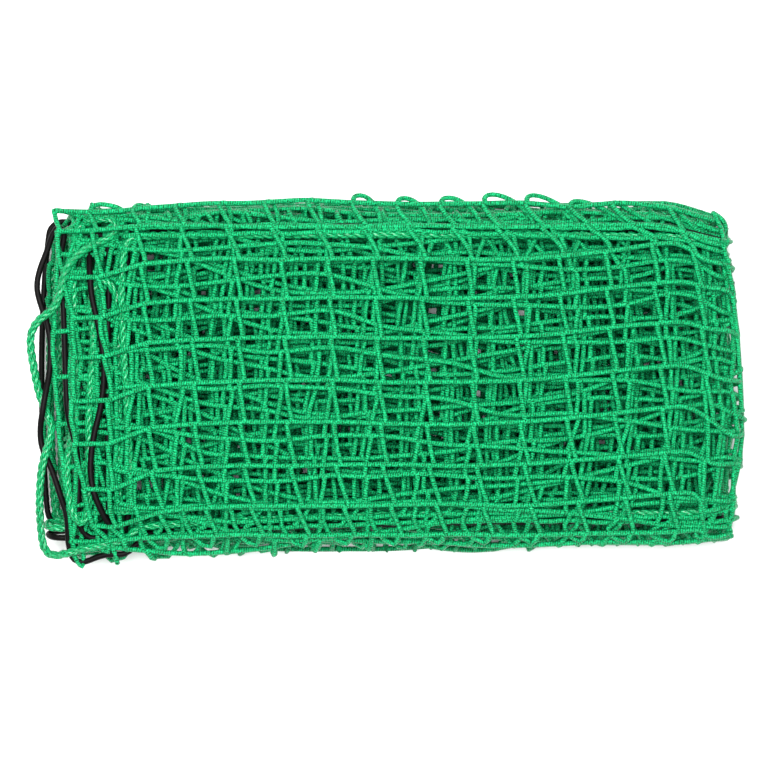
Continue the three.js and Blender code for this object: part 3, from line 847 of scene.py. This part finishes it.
# The rows bend to the near side at the left end and to the far side at the right end. The two
# long sides hold back a share of this, each within its own places across.
LEFT_DROOP = [(0, 1.0), (1, 1.0), (2, 0.28), (3, 0.1), (4, 0.0)]
DROOP_FAR, DROOP_NEAR = 14.0, 25.0
FAR_HOLD, FAR_HOLD_Y = 0.9, (120.0, 158.0)
NEAR_HOLD, NEAR_HOLD_Y = 0.8, (-150.0, -105.0)
RIGHT_RISE = 18.0
RIGHT_RISE_X = (90.0, 330.0)
FAR_EDGE_WAVE_X = [-320, -250, -190, -115, -75, -30, 20, 110, 200, 255, 300, 330]
FAR_EDGE_WAVE_Y = [-1, -4, -2, 3, 3, 1, 0, 1, 1, 0, -4, -8]
FAR_EDGE_ROWS = (18.0, 19.0)


def top_layer_x(column, y):
    """The x of columns of the top layer at their places across it."""
    second_x = SECOND_COLUMN_X + np.interp(y, LEAN_Y, LEAN_X)
    column_x = SECOND_COLUMN_X + MESH_SIZE * (column - 2) + np.interp(y, LEAN_Y, LEAN_X)
    sheared = np.clip(column - 2, 0, SHEAR_COLUMNS) * smooth(y, *SHEAR_Y)
    column_x = column_x + EDGE_SHEAR * sheared
    hem_x, first_x = np.interp(y, HEM_Y, HEM_X), np.interp(y, FIRST_Y, FIRST_X)
    hem = hem_x + (first_x - hem_x) * np.clip(column, 0, 1)
    after_hem = first_x + (second_x - first_x) * np.clip(column - 1, 0, 1)
    return np.where(column < 2, np.where(column < 1, hem, after_hem), column_x)


def top_layer_place(column, row):
    """X and Y in the frame of a place on the top layer."""
    y = np.interp(row, TOP_ROWS, TOP_ROW_Y)
    x = top_layer_x(column, y)
    droop = DROOP_NEAR + (DROOP_FAR - DROOP_NEAR) * share(y, NEAR_FOLD_Y, FAR_FOLD_Y)
    free = 1 - FAR_HOLD * smooth(y, *FAR_HOLD_Y) - NEAR_HOLD * (1 - smooth(y, *NEAR_HOLD_Y))
    y = y - droop * free * np.interp(column, *zip(*LEFT_DROOP))
    y = y + RIGHT_RISE * free * smooth(x, *RIGHT_RISE_X)
    y = y + np.interp(x, FAR_EDGE_WAVE_X, FAR_EDGE_WAVE_Y) * smooth(row, *FAR_EDGE_ROWS)
    return x, y


LEFT_JOINT = top_layer_place(np.array([2.0]), np.array([12.0]))
print("a joint near the left end:", [round(float(value[0]), 1) for value in LEFT_JOINT])

# %% [markdown]
# ## Along the folded strip
# A distance from the top edge becomes a place in one of the four strips or in a turn between them.
# All layers could end together, but no one folds a net so neatly: the lists shift them.

# %% Distances along the net, and the turns
NET_LEFT_TURN_X = -288.0
NET_RIGHT_TURN_X = 320.0
LARGEST_TURN = 21.9
HEM_PLACES = [-74.0, -38.0, 0.0]
HEM_FADE_COLUMN = 1.6
LOW_FADE_COLUMNS = (56, 59)
# How much further out or in the two short edges lie, in each layer: row, millimetres.
HEM_REACH = [
    (0, 46), (9, 38), (10.5, 0), (18.4, 0), (20, 14), (27, 20), (29, 0), (36, -6), (38, -18),
    (46.5, -22),
]
LOW_REACH = [
    (0, -13), (9.4, -13), (10.4, 5), (18.4, 5), (19.6, 21), (27.6, 21), (28.8, 30), (36.7, 30),
    (37.9, 36), (46, 36),
]
LAYER_SHIFTS = [
    (0, -10), (9.0, -12), (10, -3), (18.8, -3), (20, 9), (27.6, 11), (28.8, -14), (36.7, -16),
    (37.9, 6), (46, 12),
]


def column_distance(column, row):
    """Millimetres along the net from its third column, for whole and broken column numbers."""
    hem = np.interp(column, [0, 1, 2], HEM_PLACES)
    reach = np.interp(row, *zip(*HEM_REACH)) * np.clip(HEM_FADE_COLUMN - column, 0, 1)
    low = np.interp(row, *zip(*LOW_REACH)) * share(column, *LOW_FADE_COLUMNS)
    return np.where(column < 2, hem + reach, MESH_SIZE * (column - 2) + low)


def strip_path(distance, offset, path_offset):
    """The x and z of a distance along the folded strip, from its top end down to its low end."""
    half = STRIP_PITCH / 2
    middles = [FIRST_MIDDLE + strip * STRIP_PITCH for strip in range(STRIP_COUNT)]
    inner, outer = half - path_offset, half + path_offset
    right_x = NET_RIGHT_TURN_X + LARGEST_TURN - inner
    left_x = NET_LEFT_TURN_X - (LARGEST_TURN - outer)
    strip_length = right_x - left_x
    stops = [right_x - SECOND_COLUMN_X]
    for piece in (np.pi * inner, strip_length, np.pi * outer, strip_length, np.pi * inner):
        stops.append(stops[-1] + piece)

    def turn(stop, arc_radius, radius, end, side, middle):
        angle = np.pi / 2 - (distance - stop) / arc_radius
        return end + side * radius * np.cos(angle), middle + half + radius * np.sin(angle)

    into = [distance - stop for stop in stops]
    places = [
        (SECOND_COLUMN_X + distance, middles[3] - offset),
        turn(stops[0], inner, half - offset, right_x, 1, middles[2]),
        (right_x - into[1], middles[2] + offset),
        turn(stops[2], outer, half + offset, left_x, -1, middles[1]),
        (left_x + into[3], middles[1] - offset),
        turn(stops[4], inner, half - offset, right_x, 1, middles[0]),
    ]
    where = [distance < stop for stop in stops]
    x = np.select(where, [place[0] for place in places], right_x - into[5])
    z = np.select(where, [place[1] for place in places], middles[0] + offset)
    return x, z


print("columns from end to end:", round(float(column_distance(59.0, 14.0)) / MESH_SIZE, 1))

# %% [markdown]
# ## From the grid to the folded bundle
# A place drifts on the grid, goes through the section and along the strip, is drawn to its place in
# the top layer and settles. Each effect fades in and out, because a hard limit would be a kink.

# %% Where each effect fades in and out
TWINE_RADIUS = 2.5
TOP_RANGE = ((9.3, 10.0), (19.0, 20.0), (13.3, 14.6))
HELD_RANGE = ((9.0, 9.8), (19.2, 20.2), (15.5, 21.0))
LOOSE_RANGE = ((0.0, 2.5), (ROW_COUNT - 2.5, ROW_COUNT), (54.0, 58.0))
GATHERED_ROWS = ((1.0, 1.5), (ROW_COUNT - 1.5, ROW_COUNT - 1.0))
# Each layer's rows, with the row of the drift noise that it uses.
PANEL_ROWS = [0, 9.4, 10.4, 18.4, 19.6, 27.6, 28.8, 36.7, 37.9, 46]
PANEL_NUMBERS = [0, 0, 1, 1, 2, 2, 3, 3, 4, 4]
# The height in the section by which each layer's length in the turns is measured.
PANEL_MIDDLES = [0.0, 4.9, 14.4, 23.6, 32.7, 41.9, 46.5]
PANEL_PATH = [5.0, 5.0, 0.0, 10.1, 20.2, 15.1, 15.1]
ROW_DRIFT = 0.9
COLUMN_DRIFT = 26.0
MIDDLE_Y = (FAR_FOLD_Y + NEAR_FOLD_Y) / 2
SIDE_HOLD, SIDE_HOLD_Y = 0.6, (110.0, 150.0)
# Sways are in millimetres: the wide waves' and then the single joints'.
SWAY_X, SWAY_Y, SWAY_Z = (7.0, 3.5), (12.0, 4.0), (0.6, 0.8)
LEAST_SWAY = 0.15
GATHER_WIGGLE = 1.6
WIGGLE_SPAN = 80
LOWER_RISE = 12.0
LOWER_RISE_AT = {"distance": (320.0, 560.0), "column": (14.0, 17.0), "y": (100.0, 132.0)}
TURN_SWAY_X, TURN_SWAY_Y = 6.0, 8.0
TURN_X, RIGHT_TURN_SWAY_X = (250.0, 330.0), (285.0, 330.0)
RIGHT_PULL, RIGHT_PULL_X = 4.0, (290.0, 340.0)
# Steps along the grid that give an effect noise of its own.
TURN_NOISE_SHIFT, HEM_NOISE_SHIFT = 7, 3


def inside(column, row, limits):
    """1 between two rows and up to a column, with soft edges, and 0 outside."""
    rows_in, rows_out, columns_out = limits
    return smooth(row, *rows_in) * (1 - smooth(row, *rows_out)) * (1 - smooth(column, *columns_out))


def place_in_section(column, row, free):
    """A place's y, its height in the section and its distance along the strip."""
    panel = DRIFT_STEP * np.interp(row, PANEL_ROWS, PANEL_NUMBERS)
    drifted = row + ROW_DRIFT * free * DRIFT_Y(column, panel)
    y = np.interp(drifted, SECTION_ROWS, SECTION_PLACES[:, 0])
    height = np.interp(drifted, SECTION_ROWS, SECTION_PLACES[:, 1])
    distance = column_distance(column, row) + np.interp(row, *zip(*LAYER_SHIFTS))
    distance = distance + COLUMN_DRIFT * free * DRIFT_X(column, panel)
    distance = distance + SWAY_X[0] * WIDE_X(column, row) + SWAY_X[1] * NODE_X(column, row)
    return y, height, distance


def sway_across(y, column, row, loose, tight, distance):
    """A place's y with its waves, its wiggle at the gathered edges and its rise at the right."""
    sway = SWAY_Y[0] * WIDE_Y(column, row) + SWAY_Y[1] * NODE_Y(column, row)
    y = y + sway * tight * (LEAST_SWAY + (1 - LEAST_SWAY) * loose)
    gathered = 1 - smooth(row, *GATHERED_ROWS[0]) + smooth(row, *GATHERED_ROWS[1])
    y = y + GATHER_WIGGLE * NODE_Y(3 * column % WIGGLE_SPAN, 7 * row % WIGGLE_SPAN) * gathered
    rise = smooth(distance, *LOWER_RISE_AT["distance"])
    rise = rise * (1 - smooth(column, *LOWER_RISE_AT["column"]))
    return y + LOWER_RISE * rise * (1 - smooth(np.abs(y), *LOWER_RISE_AT["y"]))


print("middle of the bundle at y", MIDDLE_Y)

# %% Fold a place on the grid
HEM_TOP_HEIGHT = 84.0
HEM_LOW_HEIGHT = 76.0
HEM_SWAY_Z = 3.0
HEM_LIFT = (0.0, 1.7)
TOP_SWAY_WIDE, TOP_SWAY_NODE = 1.6, 1.3
TOP_EDGE_SWAY, TOP_EDGE_SWAY_ROWS = 1.8, (18.4, 19.0)
LOW_EDGE_OUT = 8.0
LOW_EDGE_AT = {"column": (44.0, 46.0), "left": (-190.0, -150.0), "right": (150.0, 200.0),
               "y": (125.0, 150.0)}


def bundle_place(column, row, in_top):
    """The point of a place on the net in the folded strips, before the top layer's pull."""
    loose = inside(column, row, LOOSE_RANGE)
    free = loose * (1 - inside(column, row, HELD_RANGE))
    y, height, distance = place_in_section(column, row, free)
    tight = 1 - SIDE_HOLD * smooth(np.abs(y - MIDDLE_Y), *SIDE_HOLD_Y)
    y = sway_across(y, column, row, loose, tight, distance)
    path_height = np.interp(row, PANEL_MIDDLES, PANEL_PATH)
    x, z = strip_path(distance, height - SECTION_MIDDLE, path_height - SECTION_MIDDLE)
    shifted = column + TURN_NOISE_SHIFT
    sway = TURN_SWAY_X * NODE_X(shifted, row) * smooth(np.abs(x), *TURN_X)
    x = x + sway - RIGHT_PULL * smooth(x, *RIGHT_PULL_X)
    y = y + TURN_SWAY_Y * NODE_Y(shifted, row) * smooth(x, *RIGHT_TURN_SWAY_X) * tight
    hem_z = HEM_LOW_HEIGHT + (HEM_TOP_HEIGHT - HEM_LOW_HEIGHT) * in_top
    hem_z = hem_z + HEM_SWAY_Z * NODE_Z(column + HEM_NOISE_SHIFT, row)
    z = z + (hem_z - z) * smooth(2 - column, *HEM_LIFT)
    z = z + SWAY_Z[1] * NODE_Z(column, row) + SWAY_Z[0] * WIDE_Z(column, row)
    return uneven(np.column_stack([x, y, z])) + FRAME_SHIFT


def fold(column, row):
    """The points in space of places on the net."""
    column, row = np.broadcast_arrays(np.asarray(column, float), np.asarray(row, float))
    in_top = inside(column, row, TOP_RANGE)
    points = bundle_place(column, row, in_top)
    top_x, top_y = top_layer_place(column, row)
    edge_sway = TOP_SWAY_NODE + TOP_EDGE_SWAY * smooth(row, *TOP_EDGE_SWAY_ROWS)
    top_x = top_x + TOP_SWAY_WIDE * WIDE_X(column, row) + TOP_SWAY_NODE * NODE_X(column, row)
    top_y = top_y + TOP_SWAY_WIDE * WIDE_Y(column, row) + edge_sway * NODE_Y(column, row)
    points[:, 0] += (top_x - points[:, 0]) * in_top
    points[:, 1] += (top_y - points[:, 1]) * in_top
    x, y = points[:, 0], points[:, 1]
    low = smooth(column, *LOW_EDGE_AT["column"]) * smooth(x, *LOW_EDGE_AT["left"])
    low = low * (1 - smooth(x, *LOW_EDGE_AT["right"])) * smooth(-y, *LOW_EDGE_AT["y"])
    points[:, 1] -= LOW_EDGE_OUT * low
    points = settle(round_corners(points))
    points[:, 2] = np.clip(points[:, 2], TWINE_RADIUS, BUNDLE_HEIGHT - TWINE_RADIUS)
    return points


print("a corner of the top layer:", np.round(fold([2.0], [10.0]), 1).tolist())

# %% [markdown]
# ## The twines
# Row twines run along the net. Column twines step sideways at each joint, because the knitting
# carries them along the row for a few stitches, and this slants the bars. A joint could be a
# modelled knot, but at this size two thickened tubes that cross look the same.

# %% Bars, joints and loops
BAR_RADIUS = 2.42
JOINT_SWELL = 1.15
JOINT_REACH = 0.07
JOINT_STEP = 0.05
LOWER_STEP = 0.03
TOP_BAR_ROWS = (9.5, 19.5)
# A bar's way from one joint to the next: how far it is along, and to which side it leans.
FINE_BAR = [(-0.06, -1.0), (-0.02, -0.8), (0.0, 0.0), (0.02, 0.8), (0.06, 1.0), (0.19, 0.85),
            (0.36, 0.35), (0.5, 0.0), (0.64, -0.35), (0.81, -0.85)]
PLAIN_BAR = [(-0.05, -1.0), (0.0, 0.0), (0.05, 1.0), (0.3, 0.7), (0.5, 0.0), (0.7, -0.7)]
# Columns with a loop, and how far it stands out.
LOOP_COLUMNS = {1: 7.0, 2: 3.0, 7: 7.5, 8: 6.0, 9: 6.5, 10: 9.5, 11: 8.5, 12: 6.5, 15: 10.0}
LOOP_WIDTH = 1.35
LOOP_START = 18.95
LOOP_LENGTH = 0.95
LOOP_POINTS = 13
LOOP_RETURN = 1.5
LOOP_FULLNESS = 0.6
LOOP_LEAN = (0.1, 0.9)


def loop_rows(row, lean):
    """Puts close steps into a column twine where it makes a loop."""
    steps = LOOP_START + LOOP_LENGTH * np.linspace(0, 1, LOOP_POINTS)
    outside = (row < steps[0]) | (row > steps[-1])
    lean = np.concatenate([lean[outside], np.zeros(LOOP_POINTS)])
    row = np.concatenate([row[outside], steps])
    order = np.argsort(row)
    return row[order], lean[order]


def bulge(points, column, row):
    """Pushes a column twine out past the far edge as a small loop, where it turns under."""
    size = LOOP_COLUMNS[column]
    loop_end = LOOP_START + LOOP_LENGTH
    part = share(row, LOOP_START, loop_end)
    points[:, 1] += size * np.sin(np.pi * part) ** LOOP_FULLNESS
    back = 1 - smooth(row, loop_end, loop_end + LOOP_RETURN)
    points[:, 0] += LOOP_WIDTH * size * smooth(part, *LOOP_LEAN) * back
    return points


def column_line(column, bar, step):
    """One column twine through all the rows, and its radii."""
    last = int(ROW_COUNT)
    row = np.concatenate([[joint + along for along, _ in bar] for joint in range(last + 1)])
    lean = np.tile([side for _, side in bar], last + 1)
    keep = (row >= 0) & (row <= last)
    row, lean = row[keep], lean[keep]
    if step == JOINT_STEP:
        in_top = (row > TOP_BAR_ROWS[0]) & (row < TOP_BAR_ROWS[1])
        lean = np.where(in_top, lean, lean * LOWER_STEP / JOINT_STEP)
    if column in LOOP_COLUMNS:
        row, lean = loop_rows(row, lean)
    swell = np.where(np.abs(row - np.round(row)) < JOINT_REACH, JOINT_SWELL, 1.0)
    points = fold(column + step * lean, row)
    if column in LOOP_COLUMNS:
        points = bulge(points, column, row)
    return points, BAR_RADIUS * swell


print("columns with a loop:", len(LOOP_COLUMNS))

# %% [markdown]
# ## Four strips of net
# One mesh would be too heavy for one piece. The net is cut where the folded strip turns, and the top
# strip, which shows best, gets the finer bars and tubes.

# %% The strips
LAST_COLUMN = 59
STRIP_CUTS = [0.0, 14.8, 29.6, 44.4, float(LAST_COLUMN)]
STRIP_NAMES = ["net_strip_4", "net_strip_3", "net_strip_2", "net_strip_1"]
TOP_DETAIL = {"bar": FINE_BAR, "step": JOINT_STEP, "row_steps": 6, "sides": 8}
LOWER_DETAIL = {"bar": PLAIN_BAR, "step": LOWER_STEP, "row_steps": 5, "sides": 6}


def row_line(row, start, end, steps):
    """One row twine from one column number to another, and its radii."""
    count = max(2, int(round((end - start) * steps)) + 1)
    column = np.linspace(start, end, count)
    return fold(column, np.full(count, float(row))), np.full(count, TWINE_RADIUS)


def strip_piece(index):
    """The twines between two cuts of the net, as one piece."""
    start, end = STRIP_CUTS[index], STRIP_CUTS[index + 1]
    detail = TOP_DETAIL if index == 0 else LOWER_DETAIL
    columns = range(math.ceil(start), math.floor(end) + 1)
    twines = [column_line(column, detail["bar"], detail["step"]) for column in columns]
    for row in range(int(ROW_COUNT) + 1):
        twines.append(row_line(row, start, end, detail["row_steps"]))
    lines, radii = zip(*twines)
    return tube_piece(STRIP_NAMES[index], lines, radii, detail["sides"], NET_TWINE)


STRIPS = [strip_piece(index) for index in range(len(STRIP_NAMES))]

# %% [markdown]
# ## Floor
# The photograph has a white ground. A shadow catcher would leave it out, but a wide pale floor also
# throws light back up through the meshes.

# %% Floor
FLOOR_SIDE = 12.0
FLOOR_HEIGHT = -0.0005
FLOOR_COLOUR = (0.92, 0.92, 0.92, 1)
FLOOR_ROUGHNESS = 0.9


def make_floor():
    """A plain pale floor just under the bundle."""
    bpy.ops.mesh.primitive_plane_add(size=FLOOR_SIDE, location=(0, 0, FLOOR_HEIGHT))
    floor = bpy.context.object
    floor.name = "floor"
    material = bpy.data.materials.new("pale_floor")
    material.use_nodes = True
    shader = material.node_tree.nodes["Principled BSDF"]
    shader.inputs["Base Color"].default_value = FLOOR_COLOUR
    shader.inputs["Roughness"].default_value = FLOOR_ROUGHNESS
    floor.data.materials.append(material)
    print("floor:", FLOOR_SIDE, "m wide")


make_floor()

# %% [markdown]
# ## Light
# The photograph's light is soft, with hardly any shadow. A sky alone would look flat, so one large
# lamp shades the twines from above and a weak one opens the shadows on the right.

# %% Light
SKY_STRENGTH = 0.5
# Each lamp's name, place in metres, side in metres and power in watts.
LAMPS = [
    ("soft_key", (-0.2, 0.3, 2.4), 1.3, 98.0),
    ("soft_fill", (0.9, -0.5, 2.0), 1.6, 6.0),
]


def make_lamp(name, place, size, watts):
    """A soft square light that looks at the bundle."""
    data = bpy.data.lights.new(name, "AREA")
    data.energy = watts
    data.size = size
    lamp = bpy.data.objects.new(name, data)
    lamp.location = place
    aim = -np.array(place) / np.linalg.norm(place)
    lamp.rotation_euler = (math.acos(-aim[2]), 0, math.atan2(aim[1], aim[0]) - math.pi / 2)
    bpy.context.scene.collection.objects.link(lamp)


def make_sky():
    """Even white light from all round."""
    world = bpy.data.worlds.new("studio")
    world.use_nodes = True
    background = world.node_tree.nodes["Background"]
    background.inputs["Color"].default_value = (1, 1, 1, 1)
    background.inputs["Strength"].default_value = SKY_STRENGTH
    bpy.context.scene.world = world


make_sky()
for lamp_row in LAMPS:
    make_lamp(*lamp_row)
bpy.context.scene.view_settings.view_transform = "Standard"
bpy.context.scene.view_settings.look = "Medium High Contrast"
print("lamps:", [lamp_row[0] for lamp_row in LAMPS])

# %% [markdown]
# ## Hand over to the frame
# Each piece hides the CAD node that it stands for and is hung on the root body.
# The four strips are one net. Its flat size is divided among them, and as most of it is open, its
# flat area is given as that of the twines.

CORDS = [(ROPE, "border_rope", "rope_fibre"), (ELASTIC, "elastic_cord", "elastic_cover")]


def declare(piece, node, slot):
    """Hides the CAD part that a piece stands for and hangs the piece on the root body. The slot is
    not used.
    """
    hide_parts(node)
    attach(piece, "root")


def declare_strip(index):
    """Hides the CAD net and hangs one strip of it on the root body."""
    strip = STRIPS[index]
    declare(strip, "net", "net_twine")


for strip_index in range(len(STRIPS)):
    declare_strip(strip_index)
for cord_row in CORDS:
    declare(*cord_row)
print("declared:", len(STRIPS), "strips and", len(CORDS), "cords")
